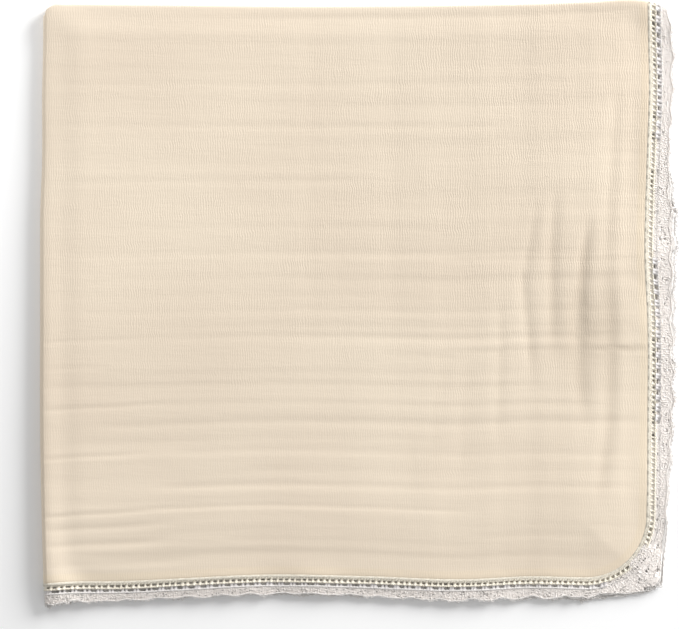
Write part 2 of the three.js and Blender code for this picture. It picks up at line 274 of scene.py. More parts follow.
def outward(rows, across, along, at, share, into_lace):
    """How far out a station moves: with the fold at share 0, with its layer's outline at 1, then the lace."""
    edge = of_layer(rows, across, along, at)
    lace = curve(rows, LACE, at) - curve(rows, TOP, at)
    return lerp(-curve(rows, FOLD, at), edge, share) + lace * into_lace


def fold_corner_cut(right, down):
    """How far the corner between the two folds is rounded off."""
    from_tip = np.clip(right + (STACK_HEIGHT - PAIR_HEIGHT) / 2, 0, FOLD_CORNER_RADIUS)
    rise = np.sqrt(FOLD_CORNER_RADIUS**2 - (FOLD_CORNER_RADIUS - from_tip) ** 2)
    return (FOLD_CORNER_RADIUS - rise) * FOLD_CORNER_DEPTH * np.exp(-np.maximum(down, 0) / FOLD_CORNER_FADE)


def dips(creases, off_axis, at):
    """The depth of all creases of a table, each fading in and out over its ends."""
    total = np.zeros_like(at)
    for first, last, start, end, depth, half_width in creases:
        middle = lerp(first, last, np.clip((at - start) / (end - start), 0, 1))
        fade = smoothstep(at, start - 25, start + 20) * (1 - smoothstep(at, end - 30, end + 25))
        total += depth * fade * np.exp(-(((off_axis - middle) / half_width) ** 2))
    return total


def ripples(right, down):
    """The soft ripples between the creases, uneven along their length."""
    total = np.zeros_like(right)
    for length, height, drift, phase in RIPPLES_LEVEL:
        bend = 0.6 * np.sin(right / drift + phase * 2) + 0.35 * np.sin(right / drift * 2.7 + phase)
        strength = 0.65 + 0.35 * np.sin(right / drift * 1.7 + down / 90 + phase)
        total += height * strength * np.sin(math.tau * down / length + bend + phase)
    for length, height, drift, phase in RIPPLES_UPRIGHT:
        bend = 0.8 * np.sin(down / drift + phase)
        total += height * smoothstep(right, 150, 480) * np.sin(math.tau * right / length + bend + phase)
    return total


def swell_share(right, down, at_right, at_down, reach_right, reach_down):
    """1 in the middle of a broad hollow or swell, fading out round it."""
    return np.exp(-(((right - at_right) / reach_right) ** 2) - ((down - at_down) / reach_down) ** 2)


def inside_loose_edges(right, down, from_right, from_down):
    """1 on the cloth, and 0 at its two loose edges, fading over a stretch inside each."""
    inside_right = 1 - smoothstep(right, CLOTH_RIGHT - from_right, CLOTH_RIGHT)
    return inside_right * (1 - smoothstep(down, CLOTH_DOWN - from_down, CLOTH_DOWN))


def top_height(right, down):
    """The height of the top layer's middle where it lies open, before its fine relief."""
    left = 1.1 * (1 - smoothstep(right, -6, 110))
    lower_left = 0.9 * smoothstep(down, 300, 545) * (1 - smoothstep(right, 0, 130))
    top = 0.8 * (1 - smoothstep(down, -4, 90))
    to_right = smoothstep(right, CLOTH_RIGHT - 70, CLOTH_RIGHT)
    to_bottom = smoothstep(down, CLOTH_DOWN - 60, CLOTH_DOWN)
    swell = np.zeros_like(right)
    for *where, height in SWELLS:
        swell += height * swell_share(right, down, *where)
    return TOP_HEIGHT + left + lower_left + top - EDGE_FALL * np.maximum(to_right, to_bottom) + swell


def relief_at(right, down):
    """The fine relief of the top layer, and how deep in a crease a place is."""
    strength = smoothstep(right, -5, 6) * smoothstep(down, -2, 6)
    strength = strength * inside_loose_edges(right, down, 10, 8)
    # The cloth lies smoothest at the upper left and is most creased at the lower left
    off_upper_left = np.maximum(smoothstep(right, 110, 330), smoothstep(down, 300, 410))
    lower_left = smoothstep(down, 370, 460) * (1 - smoothstep(right, 180, 330))
    strength = strength * (lerp(0.52, 1, off_upper_left) + 0.4 * lower_left)
    hollow = dips(LEVEL_CREASES, down, right) + dips(UPRIGHT_CREASES, right, down)
    return (ripples(right, down) - hollow) * strength, hollow * strength


def top_lift(right, down, stack):
    """What the top layer stands above its place in the even stack."""
    open_share = smoothstep(right, 0, 34) * smoothstep(down, 0, 26) * inside_loose_edges(right, down, 22, 18)
    relief = relief_at(right, down)[0]
    room = 0.35 * smoothstep(right, -4, 10) * smoothstep(down, -2, 8)
    return np.maximum((top_height(right, down) - stack) * open_share + relief + room, LOWEST_LIFT)


def ruffle(right, down, out_right, out_down):
    """The lace lies in soft waves, which are the same in all its layers."""
    side = 0.10 * np.sin(down / 17.0 + 1.1 * np.sin(down / 41.0)) * out_right
    bottom = 0.12 * np.sin(right / 19.0 + 1.3 * np.sin(right / 37.0)) * out_down
    return side + bottom


def height_share(right, down):
    """How high the stack stands against an even one: more at the folds, less out to the lace's edge."""
    left_swell = lerp(*LEFT_FOLD_SWELLS, np.clip(down / CLOTH_DOWN, 0, 1))
    left_swell = left_swell * (1 - smoothstep(right, 0, SWELL_REACH))
    top_swell = TOP_FOLD_SWELL * (1 - smoothstep(down, 0, SWELL_REACH))
    out_right = smoothstep(right, CLOTH_RIGHT - LACE_WIDTH, CLOTH_RIGHT + LACE_WIDTH)
    out_down = smoothstep(down, CLOTH_DOWN - LACE_WIDTH, CLOTH_DOWN + LACE_WIDTH)
    level = 1 - LACE_DROOP * np.maximum(out_right, out_down) + ruffle(right, down, out_right, out_down)
    return (1 + left_swell + top_swell) * level


def place(across, along, out):
    """The folded places of stations, `out` from the middle of the cloth, in millimetres."""
    down, depth = fold_top(along, out)
    right, up = fold_left(across, depth)
    share_right = np.clip(right / CLOTH_RIGHT, 0, 1)
    share_down = np.clip(down / CLOTH_DOWN, 0, 1)
    lace_right = np.clip((right - CLOTH_RIGHT - ROWS_END) / (LACE_WIDTH - ROWS_END), 0, 1)
    lace_down = np.clip((down - CLOTH_DOWN - ROWS_END) / (LACE_WIDTH - ROWS_END), 0, 1)
    x = right + outward(SIDES, across, along, down, share_right, lace_right)
    y = down + outward(ENDS, across, along, right, share_down, lace_down) + fold_corner_cut(right, down)
    z = up * height_share(right, down)
    middle = (STACK_HEIGHT - CLOTH_THICKNESS / 2) * height_share(right, down)
    z = z + np.where((across > 0) & (along > 0), top_lift(right, down, middle), 0)
    z = z * (1 - CORNER_SINK * smoothstep(right, 330, 570) * smoothstep(down, 450, 555))
    edge = np.maximum(right - CLOTH_RIGHT, down - CLOTH_DOWN)
    z = z * (1 - EDGE_SINK * smoothstep(edge, 2, LACE_WIDTH))
    return np.stack([x - ORIGIN_RIGHT, ORIGIN_DOWN - y, z], axis=-1)


# ---------- meshes
def make_object(name, vertices, faces, materials, *, face_material=None, uv=None, values=None):
    """One mesh object from arrays of places in millimetres and of four-cornered faces."""
    mesh = bpy.data.meshes.new(name)
    mesh.vertices.add(len(vertices))
    mesh.vertices.foreach_set("co", (vertices * MM).astype(np.float32).ravel())
    mesh.loops.add(faces.size)
    mesh.loops.foreach_set("vertex_index", faces.astype(np.int32).ravel())
    mesh.polygons.add(len(faces))
    mesh.polygons.foreach_set("loop_start", np.arange(0, faces.size, 4, dtype=np.int32))
    mesh.polygons.foreach_set("use_smooth", np.ones(len(faces), dtype=bool))
    if face_material is not None:
        mesh.polygons.foreach_set("material_index", face_material.astype(np.int32))
    if uv is not None:
        mesh.uv_layers.new(name="thread").data.foreach_set("uv", uv.astype(np.float32).ravel())
    for label, numbers in (values or {}).items():
        mesh.attributes.new(label, "FLOAT", "POINT").data.foreach_set("value", numbers.astype(np.float32))
    mesh.update(calc_edges=True)
    mesh.validate()
    for material in materials:
        mesh.materials.append(material)
    piece = bpy.data.objects.new(name, mesh)
    bpy.context.scene.collection.objects.link(piece)
    return piece


def grid_faces(number):
    """The four corners of each cell of a grid of vertex numbers."""
    return np.stack([number[:-1, :-1], number[1:, :-1], number[1:, 1:], number[:-1, 1:]], axis=-1)


def lines(half, arc, shown, fold_steps):
    """Stations of one direction of the cloth. `shown` has the top layer's: up to where, in what steps."""
    near = np.linspace(arc, arc + SWELL_REACH, 6)[1:]
    hidden = np.concatenate([
        np.linspace(-half, CORNER_RADIUS - half, 8)[:-1],
        np.linspace(CORNER_RADIUS - half, -near[-1], 16)[:-1],
        -near[::-1],
    ])
    fold = np.linspace(-arc, arc, fold_steps + 1)
    places = [arc]
    for end, step in shown:
        count = int(round((end - places[-1]) / step))
        places.extend(np.linspace(places[-1], end, count + 1)[1:])
    return np.concatenate([hidden, fold, places[1:]])


def round_corner(across, along):
    """Draws the four corner squares of the cloth in to quarter discs."""
    into_across = np.clip((np.abs(across) - HALF_ACROSS) / CORNER_RADIUS + 1, 0, 1)
    into_along = np.clip((np.abs(along) - HALF_ALONG) / CORNER_RADIUS + 1, 0, 1)
    is_corner = (into_across > 0) & (into_along > 0)
    drawn_across = into_across * np.sqrt(1 - into_along**2 / 2)
    drawn_along = into_along * np.sqrt(1 - into_across**2 / 2)
    new_across = np.sign(across) * (HALF_ACROSS + (drawn_across - 1) * CORNER_RADIUS)
    new_along = np.sign(along) * (HALF_ALONG + (drawn_along - 1) * CORNER_RADIUS)
    return np.where(is_corner, new_across, across), np.where(is_corner, new_along, along)


def edge_distance(across, along):
    """How far a station is inside the edge of the cloth, rounded corners included."""
    inside_across = HALF_ACROSS - np.abs(across)
    inside_along = HALF_ALONG - np.abs(along)
    into = np.hypot(np.maximum(CORNER_RADIUS - inside_across, 0), np.maximum(CORNER_RADIUS - inside_along, 0))
    in_corner = (inside_across < CORNER_RADIUS) & (inside_along < CORNER_RADIUS)
    return np.where(in_corner, CORNER_RADIUS - into, np.minimum(inside_across, inside_along))


def hollow_at(across, along):
    """How deep in a crease or a hollow of the top layer a station is, for the painted shade there."""
    down, depth = fold_top(along, 0)
    right = fold_left(across, depth)[0]
    hollow = relief_at(right, down)[1]
    for *where, height in SWELLS:
        if height < DEEP_SWELL:
            hollow = hollow - SWELL_PAINTED_SHADE * height * swell_share(right, down, *where)
    return np.where((across > 0) & (along > 0), hollow, 0)


def build_muslin(material):
    """The cloth: one thin closed sheet through all four layers, with a rounded edge and a double hem."""
    shown_across = ((430, 6.6), (HALF_ACROSS - 3, 4.0), (HALF_ACROSS, 1.0))
    shown_along = ((HALF_ALONG, 1.9),)
    across_lines = lines(HALF_ACROSS, LEFT_ARC, shown_across, fold_steps=12)
    along_lines = lines(HALF_ALONG, TOP_ARC, shown_along, fold_steps=8)
    across, along = round_corner(*np.meshgrid(across_lines, along_lines))
    from_edge = edge_distance(across, along)
    hem = HEM_EXTRA * (1 - smoothstep(from_edge, HEM_WIDTH - 1, HEM_WIDTH + 1))
    half = CLOTH_THICKNESS / 2 * (0.55 + 0.45 * smoothstep(from_edge, 0, 1.5)) + hem
    vertices = np.stack([place(across, along, half), place(across, along, -half)]).reshape(-1, 3)
    count = across.size
    number = np.arange(count).reshape(across.shape)
    quads = grid_faces(number).reshape(-1, 4)
    ring = np.concatenate([number[0, :-1], number[:-1, -1], number[-1, :0:-1], number[:0:-1, 0]])
    following = np.roll(ring, -1)
    rim = np.stack([ring, following, following + count, ring + count], axis=-1)
    faces = np.concatenate([quads, quads[:, ::-1] + count, rim])
    # The hollow values set where the material paints shade in the creases and deep hollows
    values = {"from_edge": from_edge, "hollow": hollow_at(across, along)}
    values = {label: np.concatenate([numbers.ravel()] * 2) for label, numbers in values.items()}
    return make_object("muslin_cloth", vertices, faces, [material], values=values)


# ---------- lace
SIDE_END = HALF_ALONG - CORNER_RADIUS
CORNER_END = SIDE_END + CORNER_RADIUS * math.pi / 2
QUARTER_END = CORNER_END + HALF_ACROSS - CORNER_RADIUS
TOP_QUARTER = (1, 1)  # a quarter of the open blanket has the signs of `across` and `along`
SECOND_QUARTER = (1, -1)
ALL_STITCHES = 210  # in a quarter of the lace
EVEN_STITCHES = 115  # of them, along the side and round the corner; from there on they grow wider
SIDE_STITCHES = 103  # of them, along the side
SPLIT = 98  # the stitch, short of the corner, where the top lace is parted into two pieces
STITCH = 5.0  # from one even stitch to the next
SCALLOP = 6  # stitches

# Distances out from the edge of the cloth
TAPE_START = -1.1
HEADING_CHAIN = 2.3
FIRST_CHAIN = 6.5
SECOND_CHAIN = 11.2
FANS = 11.9
BOTTOM_DRAW = 0.1  # how much nearer to the cloth the rows lie along the bottom than along the side

TAPE_HEIGHT = 0.7  # above the middle of the lace, level with the hem
SHEET_HALF = 0.12  # half the thickness of the tape, and of the stitches behind the first row
HELD_STITCHES = 7  # slanting stitches in each group that holds the heading to the hem
HELD_PITCH = 0.9
OPEN_BEHIND = 0.2  # share of the first row's spaces along the side that have no stitches behind
SHUT_SPACE = 0.9  # a space drawn further shut than this has no posts of its own

# For the lace of the hidden layers, and for that of the top layer, which is finer
YARN_SIDES = (4, 5)
CHAIN_STEPS = (4, 6)  # to a stitch
EDGE_STEPS = (5, 6)
GROUND_CELL = (2.0, 1.2)
FAN_PITCH = (3.2, 2.3)  # between the short stitches of a row

FAN_ROW = 2.15  # between the rows of short stitches
FAN_ROWS = math.ceil(2 * LACE_WIDTH / FAN_ROW)  # enough to reach the outermost point of the corner
FAN_STITCH = (1.5, 2.9)  # its least and its greatest length
FAN_SLANT = 1.3  # the most that it turns from straight outwards, either way
FAN_RADIUS = 0.5
FAN_FLATNESS = 0.42
FAN_COVER = 1.1  # how high the fans lie over the rows of spaces where they are gathered
PINHOLES = 0.2  # share of the places for one in the fans' ground
LONG_PINHOLES = 0.6  # share of them that are three cells long and not two
FAN_GROUND_HALF = 0.22
EDGE_RADIUS = 0.42  # of the cord along the edge and its loops
LOOP_PITCH = 4.1  # of the small loops along the edge
LOOP_WIDTH = 2.9
LOOP_REACH = (0.5, 2.4)  # least and greatest

NOTCH = (26.0, 62.0, 3.2)  # the edge steps in near the left fold: from, back by, depth
CURLS = [(66, 83), (93, 113)]  # past the end of the side: from, to
CURL_DEPTH = 2.8  # how far the edge is drawn in there
CURL_REACH = 3.0  # how far its rolled strands come out again
CURL_STRANDS = 4
JOINED_RUN = (39.5, 47.0)  # the joined end: from, to past the end of the side
JOINED_OUT = (18.9, 21.8)  # and out from the cloth
# How far the second row of spaces is drawn shut: how far along the edge, share
SHUT = [
    (0, 0.4), (100, 0.45), (125, 0.95), (240, 0.95), (254, 0.3), (280, 0.35),
    (298, 1), (314, 0.55), (372, 0.55), (400, 1), (560, 1), (568, 0),
]
COTTON, HEADING, SHADED, PAINTED_DEEP_SHADE, POST_PAINTED_SHADE = range(5)  # the kinds of yarn, in the order of their materials; the last three are the cotton painted darker, as shade
FIRST_POSTS = {"slant": 0.9, "apart": 0.3, "flatness": 0.55, "kind": HEADING}
# The second row's posts are painted darker, as shade
SECOND_POSTS = {"slant": 0.8, "apart": 0.25, "flatness": 0.45, "kind": POST_PAINTED_SHADE}
UP_STEP = 0.2  # above a yarn, to find which way is up there


def run_of(stitch):
    """How far along the edge a stitch is."""
    growth = 2 * (QUARTER_END - ALL_STITCHES * STITCH) / (ALL_STITCHES - EVEN_STITCHES) ** 2
    return stitch * STITCH + growth * np.maximum(stitch - EVEN_STITCHES, 0) ** 2 / 2


def turn_at(run):
    """How far round the corner a place along the edge is, in radians."""
    return np.clip((run - SIDE_END) / CORNER_RADIUS, 0, math.pi / 2)


def flare(run):
    """How much further the fans reach at the squarish outer corner than along the straight sides."""
    turn = turn_at(run)
    square = (np.cos(turn) ** LACE_SQUARENESS + np.sin(turn) ** LACE_SQUARENESS) ** (-1 / LACE_SQUARENESS)
    return ((CORNER_RADIUS + LACE_WIDTH) * square - CORNER_RADIUS - ROWS_END) / (LACE_WIDTH - ROWS_END)


def lace_place(quarter, run, distance, out):
    """The folded place of a point of the lace, `run` along the edge from the top fold to the left fold."""
    turn = turn_at(run)
    before, after = np.minimum(run - SIDE_END, 0), np.maximum(run - CORNER_END, 0)
    across = HALF_ACROSS - CORNER_RADIUS * (1 - np.cos(turn)) - after
    along = HALF_ALONG - CORNER_RADIUS * (1 - np.sin(turn)) + before
    draw = 1 - BOTTOM_DRAW * smoothstep(run, SIDE_END + 30, CORNER_END)
    beyond = np.maximum(distance - ROWS_END, 0)
    beyond = beyond * (LACE_WIDTH - ROWS_END * draw) / (LACE_WIDTH - ROWS_END)
    reach = np.minimum(distance, ROWS_END) * draw + beyond * flare(run)
    across = across + reach * np.cos(turn)
    along = along + reach * np.sin(turn)
    return place(quarter[0] * across, quarter[1] * along, out)


class Threads:
    """Collects the yarns of one stretch of lace and builds them as one mesh."""

    def __init__(self, quarter, first, last):
        self.quarter, self.first, self.last = quarter, first, last
        self.start, self.end = run_of(np.array([first, last]))
        self.length = self.end - self.start
        self.stitches = np.arange(first, last)
        self.posts = run_of(self.stitches + 0.5)[:, None]
        self.seed = quarter[0] + 2.3 * quarter[1]  # of the slow wander of its rows
        self.fine = quarter == TOP_QUARTER
        self.sides = YARN_SIDES[self.fine]
        self.vertices, self.faces, self.uv, self.kinds = [], [], [], []
        self.count = 0

    def divided(self, steps):
        """Places along the stretch in stitches, `steps` of them to a stitch."""
        return np.linspace(self.first, self.last, (self.last - self.first) * steps + 1)

    def keep(self, points, faces, uv, kind):
        points = points.reshape(-1, 3)
        points[:, 2] = np.maximum(points[:, 2], 0)  # nothing goes through the table
        self.vertices.append(points)
        self.faces.append(faces)
        self.uv.append(uv.reshape(-1, 2))
        self.kinds.append(np.full(len(faces), kind))
        self.count += len(points)

    def add(self, run, distance, out, radius, flatness=1.0, kind=COTTON):
        """Yarns, one in each row: places along the edge, out from the cloth, and above the lace."""
        run, distance, out = np.broadcast_arrays(*np.atleast_2d(run, distance, out))
        radius = np.broadcast_to(radius, run.shape)
        middle = lace_place(self.quarter, run, distance, out)
        above = lace_place(self.quarter, run, distance, out + UP_STEP)
        tangent = unit(np.gradient(middle, axis=1))
        side = unit(np.cross(tangent, above - middle))
        normal = np.cross(side, tangent)
        around = np.arange(self.sides) / self.sides
        angle = (around * math.tau)[:, None]
        circle = side[:, :, None] * np.cos(angle) + flatness * normal[:, :, None] * np.sin(angle)
        points = middle[:, :, None] + circle * radius[:, :, None, None]
        yarns, steps = run.shape
        number = np.arange(yarns * steps * self.sides).reshape(yarns, steps, self.sides) + self.count
        after = np.roll(number, -1, axis=2)
        quads = np.stack([number[:, :-1], number[:, 1:], after[:, 1:], after[:, :-1]], axis=-1)
        strides = np.linalg.norm(np.diff(middle, axis=1), axis=-1)
        length = np.pad(np.cumsum(strides, axis=1), ((0, 0), (1, 0)))
        a, b = length[:, :-1, None], length[:, 1:, None]
        u = np.stack([a, b, b, a], axis=-1)
        v = np.stack([around, around, around + 1 / self.sides, around + 1 / self.sides], axis=-1)
        uv = np.stack([np.broadcast_to(values, quads.shape) for values in (u, v)], axis=-1)
        self.keep(points, quads.reshape(-1, 4), uv, kind)

    def add_ground(self, run, distance, out, half, is_open=None, kind=COTTON):
        """Close stitches as one thin closed sheet, cut through at its open cells."""
        faces = [lace_place(self.quarter, run, distance, out + side) for side in (half, -half)]
        number = np.arange(run.size).reshape(run.shape) + self.count
        quads = grid_faces(number)
        if is_open is None:
            is_open = np.zeros(quads.shape[:2], bool)
        quads = quads[~is_open]
        whole = np.pad(~is_open, 1)
        walls = []
        for first, second, own, other in (
            (number[:-1], number[1:], whole[1:-1, 1:], whole[1:-1, :-1]),
            (number[:, 1:], number[:, :-1], whole[1:, 1:-1], whole[:-1, 1:-1]),
        ):
            for start, end, rim in ((first, second, own & ~other), (second, first, other & ~own)):
                start, end = start[rim], end[rim]
                walls.append(np.stack([end, start, start + run.size, end + run.size], -1))
        quads = np.concatenate([quads, quads[:, ::-1] + run.size, *walls])
        places = np.stack([run, distance], -1).reshape(-1, 2)
        uv = np.concatenate([places, places])[quads - self.count]
        self.keep(np.stack(faces), quads, uv, kind)

    def build(self, name, materials):
        vertices, faces = np.concatenate(self.vertices), np.concatenate(self.faces)
        kinds, uv = np.concatenate(self.kinds), np.concatenate(self.uv)
        return make_object(name, vertices, faces, materials, face_material=kinds, uv=uv)


def uneven(run, seed, length=37.0):
    """A slow, smooth wander between about -1 and 1 along the lace."""
    slow = np.sin(run / length + seed)
    middling = 0.7 * np.sin(run / length * 2.3 + seed * 2.7)
    quick = 0.5 * np.sin(run / length * 4.9 + seed * 5.1)
    return (slow + middling + quick) / 1.6


def jitter(scale, count):
    """Random shifts of `count` yarns."""
    return rng.normal(0, scale, (count, 1))


def gathered(run):
    """1 where the lace is gathered at the corner, so its fans cover the rows of spaces, and 0 elsewhere."""
    return smoothstep(run, SIDE_END + 21, SIDE_END + 28) * (1 - smoothstep(run, SIDE_END + 45, SIDE_END + 53))


def shut(run):
    return np.interp(run, *zip(*SHUT))


def inner_line(run):
    """Where the fans begin."""
    return lerp(lerp(FANS, FIRST_CHAIN + 0.6, shut(run)), HEADING_CHAIN, gathered(run))


def outer_line(run, quarter):
    """The uneven, scalloped and slightly ragged line that the edge of the lace follows."""
    seed = 3.1 * quarter[0] + 1.7 * quarter[1]
    scallop = (1 + np.cos(math.tau * (run + 3.6 * uneven(run, seed, 47)) / (SCALLOP * STITCH))) / 2
    line = LACE_WIDTH - 1.2 - 2.4 * scallop + 0.8 * uneven(run, seed + 4, 21)
    line = line + 0.5 * uneven(run, seed, 5.3) + 0.35 * uneven(run, seed + 2, 2.4)
    start, end, depth = NOTCH
    to_fold = QUARTER_END - run
    in_notch = smoothstep(to_fold, start - 0.6, start + 0.6) * (1 - smoothstep(to_fold, start, end))
    line = line - depth * in_notch
    if quarter == TOP_QUARTER:
        past = run - SIDE_END
        for start, end in CURLS:
            in_curl = smoothstep(past, start - 3, start + 3) * (1 - smoothstep(past, end - 3, end + 3))
            line = line - CURL_DEPTH * in_curl
    return line


def rope(lace, stitch, middle, swing, lift, radius, pitch=1.0, kind=COTTON, phase=0.0):
    """Two strands twisted about each other along the lace: a row of chain stitches."""
    for strand in (0, math.pi):
        turn = math.tau * stitch / pitch + strand + phase
        lace.add(run_of(stitch), middle + swing * np.sin(turn), lift * np.cos(turn), radius, kind=kind)


def chain(lace, line, swing, radius, phase, kind, thinner=0.0):
    """The chain of a row. It wanders a little, and loses `thinner` where the second row is drawn shut."""
    stitch = lace.divided(CHAIN_STEPS[lace.fine])
    run = run_of(stitch)
    middle = line + 0.25 * uneven(run, lace.seed + phase)
    radius = radius - thinner * shut(run)
    rope(lace, stitch, middle, swing, lift=0.3, radius=radius, kind=kind, phase=phase)


def crossed_posts(lace, middle, near, far, thick, slant, apart, flatness, kind, sink=0.0):
    """Posts from one chain to the next, crossed two by two and thicker at both ends."""
    t = shares(5)
    radius = thick * (1 + 0.8 * (2 * t - 1) ** 2)
    for way in (-1, 1):
        run = middle + way * (slant * (t - 0.5) + apart)
        lace.add(run, lerp(near, far, t), way * 0.2 - sink, radius, flatness=flatness, kind=kind)


def heading(lace):
    """A narrow tape and a chain, held to the hem by slanting stitches."""
    run, distance = np.meshgrid(run_of(lace.divided(2)), (TAPE_START, HEADING_CHAIN), indexing="ij")
    height = TAPE_HEIGHT + 0.04 * (distance - TAPE_START)
    lace.add_ground(run, distance, height, SHEET_HALF, kind=HEADING)
    chain(lace, HEADING_CHAIN, swing=0.42, radius=0.76, phase=0.5, kind=HEADING)
    t = shares(3)
    distance = lerp(-0.9, 1.9, t)
    lift = 0.68 + 0.14 * np.sin(math.pi * t)
    held = lace.posts[lace.stitches % 2 == 0]
    for number in range(HELD_STITCHES):
        run = held - 3.3 + HELD_PITCH * number + jitter(0.15, len(held)) + 0.6 * t
        lace.add(run, distance, lift, 0.4, flatness=0.5, kind=HEADING)


def first_row(lace):
    """Spaces between crossed posts, which are by turns a little nearer together, and a chain."""
    posts, count = lace.posts, len(lace.posts)
    lean = jitter(0.3, count) + 0.22 * (-1.0) ** lace.stitches[:, None]
    at_bottom = smoothstep(posts, SIDE_END, CORNER_END)
    thick = 0.98 + 0.10 * at_bottom + 0.18 * uneven(posts, lace.seed + 3, 24) + jitter(0.14, count)
    crossed_posts(lace, posts + lean, HEADING_CHAIN, FIRST_CHAIN, thick, **FIRST_POSTS)
    chain(lace, FIRST_CHAIN, swing=0.45, radius=0.74, phase=1.7, kind=HEADING)
    if lace.fine:
        # Along the side most of these spaces are drawn shut behind
        along = run_of(np.arange(lace.first, min(lace.last, SIDE_STITCHES) + 1))
        run, distance = np.meshgrid(along, (HEADING_CHAIN, FIRST_CHAIN), indexing="ij")
        is_open = rng.random(len(along) - 1) < OPEN_BEHIND + 0.25 * uneven(along[:-1], 2.0, 29)
        lace.add_ground(run, distance, -0.3, SHEET_HALF, is_open[:, None])


def second_row(lace):
    """A wide space and a narrow one by turns, and a chain; where it is drawn shut, the fans lie over it."""
    has_posts = (lace.stitches % 2 == 0) & (shut(lace.posts[:, 0]) < SHUT_SPACE)
    pairs = lace.posts[has_posts]
    at_bottom = smoothstep(pairs, SIDE_END, CORNER_END)
    thick = 1.6 - 0.35 * at_bottom + 0.2 * uneven(pairs, lace.seed + 5, 30) + jitter(0.14, len(pairs))
    apart = 1.4 + 0.25 * uneven(pairs, lace.seed + 1, 19)
    apart = apart + 0.25 * smoothstep(pairs, CORNER_END, QUARTER_END)
    sink = 0.55 * at_bottom
    for side in (-1, 1):
        middle = pairs + side * apart + jitter(0.4, len(pairs)) + STITCH / 2
        crossed_posts(lace, middle, FIRST_CHAIN, SECOND_CHAIN, thick, sink=sink, **SECOND_POSTS)
    # Its chain is painted in shade
    chain(lace, SECOND_CHAIN, swing=0.5, radius=0.62, phase=2.9, kind=SHADED, thinner=0.4)


def spread_along(lace, count):
    """Places along the stretch, evenly spread and each shifted a little."""
    spread = (np.arange(count)[:, None] + 0.5) * lace.length / count
    return lace.start + spread + jitter(0.5, count)


def fan_ground(lace):
    """The close, scalloped outer part: a thin ground with pinholes."""
    cell = GROUND_CELL[lace.fine]
    columns = int(round((LACE_WIDTH - FIRST_CHAIN) / cell))
    along = np.linspace(lace.start, lace.end, int(round(lace.length / cell)) + 1)
    run, share = np.meshgrid(along, np.linspace(0, 1, columns + 1), indexing="ij")
    wander = rng.uniform(-0.28, 0.28, (3, *run.shape)) * cell
    wander[0, (0, -1)] = 0
    # The second layer's rows are drawn shut, so the top layer's spaces show close stitches below them
    inner = HEADING_CHAIN if lace.quarter == SECOND_QUARTER else inner_line(run)
    distance = lerp(inner - 0.8, outer_line(run, lace.quarter) - 0.4, share) + wander[1]
    # The openings are two or three cells long, with a closed cell after each
    groups = (len(along) + 2) // 4 + 1
    is_open = np.repeat(rng.random((groups, columns)) < PINHOLES, 4, axis=0)
    is_open[3::4] = False
    is_open[2::4] &= rng.random((groups, columns)) < LONG_PINHOLES
    is_open[:, 1::2] = False
    is_open = is_open[:len(along) - 1]
    height = FAN_COVER * gathered(run) - 0.3 + 0.35 * wander[2]
    # The hidden layers' ground is painted in shade
    kind = COTTON if lace.fine else SHADED
    lace.add_ground(run + wander[0], distance, height, FAN_GROUND_HALF, is_open, kind)


def fan_stitches(lace):
    """Rows of short stitches that lie every way over the ground."""
    count = int(lace.length / FAN_PITCH[lace.fine])
    t = shares(3)
    for row in range(FAN_ROWS):
        middle = spread_along(lace, count)
        near = inner_line(middle) + ((row + 0.5) * FAN_ROW + jitter(0.4, count)) / flare(middle)
        length = rng.uniform(*FAN_STITCH, (count, 1))
        slant = rng.uniform(-FAN_SLANT, FAN_SLANT, (count, 1))
        lift = 0.06 + 0.12 * np.sin(math.pi * t) + rng.uniform(-0.14, 0.10, (count, 1))
        lift = lift + FAN_COVER * gathered(middle)
        run = middle + length * np.sin(slant) * (t - 0.5)
        distance = near + length * np.cos(slant) * (t - 0.5) / flare(middle)
        within = (near < outer_line(middle, lace.quarter) - 0.6) & (middle > lace.start)
        within = (within & (middle < lace.end)).ravel()
        lace.add(run[within], distance[within], lift[within], FAN_RADIUS, flatness=FAN_FLATNESS)
        if lace.fine and lace.last > SPLIT:
            # Along the bottom some stitches are painted dark, as shade between the others
            share = 0.08 + 0.06 * smoothstep(middle, SIDE_END + 50, CORNER_END + 20)
            shade = within & (rng.random(count) < share.ravel())
            run = middle[shade] + 1.1 + 1.9 * (t - 0.5)
            lace.add(run, near[shade] + 0.9, lift[shade] + 0.1, 0.34, flatness=0.5, kind=PAINTED_DEEP_SHADE)


def fan_edge(lace):
    """A thin cord along the edge, with small loops."""
    stitch = lace.divided(EDGE_STEPS[lace.fine])
    line = outer_line(run_of(stitch), lace.quarter)
    # The cord is painted in shade except along the side of the top lace, and the loops are all painted in
    # shade
    kind = COTTON if lace.fine and lace.last <= SPLIT else SHADED
    rope(lace, stitch, line, swing=0.4, lift=0.2, radius=EDGE_RADIUS, pitch=0.8, kind=kind)
    t = shares(5)
    count = int(lace.length / LOOP_PITCH)
    middle = spread_along(lace, count)
    reach = rng.uniform(*LOOP_REACH, (count, 1))
    distance = outer_line(middle, lace.quarter) + 0.2 + reach * np.sin(math.pi * t)
    lace.add(middle + LOOP_WIDTH * (t - 0.5), distance, jitter(0.15, count) - 0.1, EDGE_RADIUS, kind=SHADED)


def curls(lace):
    """The edge of the lace rolls under at two places near the corner, painted dark for the shade it lies in.
    """
    t = shares(9)
    radius = 0.85 * np.sin(math.pi * (0.06 + 0.88 * t))
    for start, end in CURLS:
        run = SIDE_END + lerp(start, end, t)
        for strand in range(CURL_STRANDS):
            reach = CURL_REACH * np.sin(math.pi * t) * (strand + 1) / CURL_STRANDS
            distance = outer_line(run, lace.quarter) - 0.4 + reach
            lace.add(run, distance, 0.2 * strand - 0.5, radius, kind=PAINTED_DEEP_SHADE)


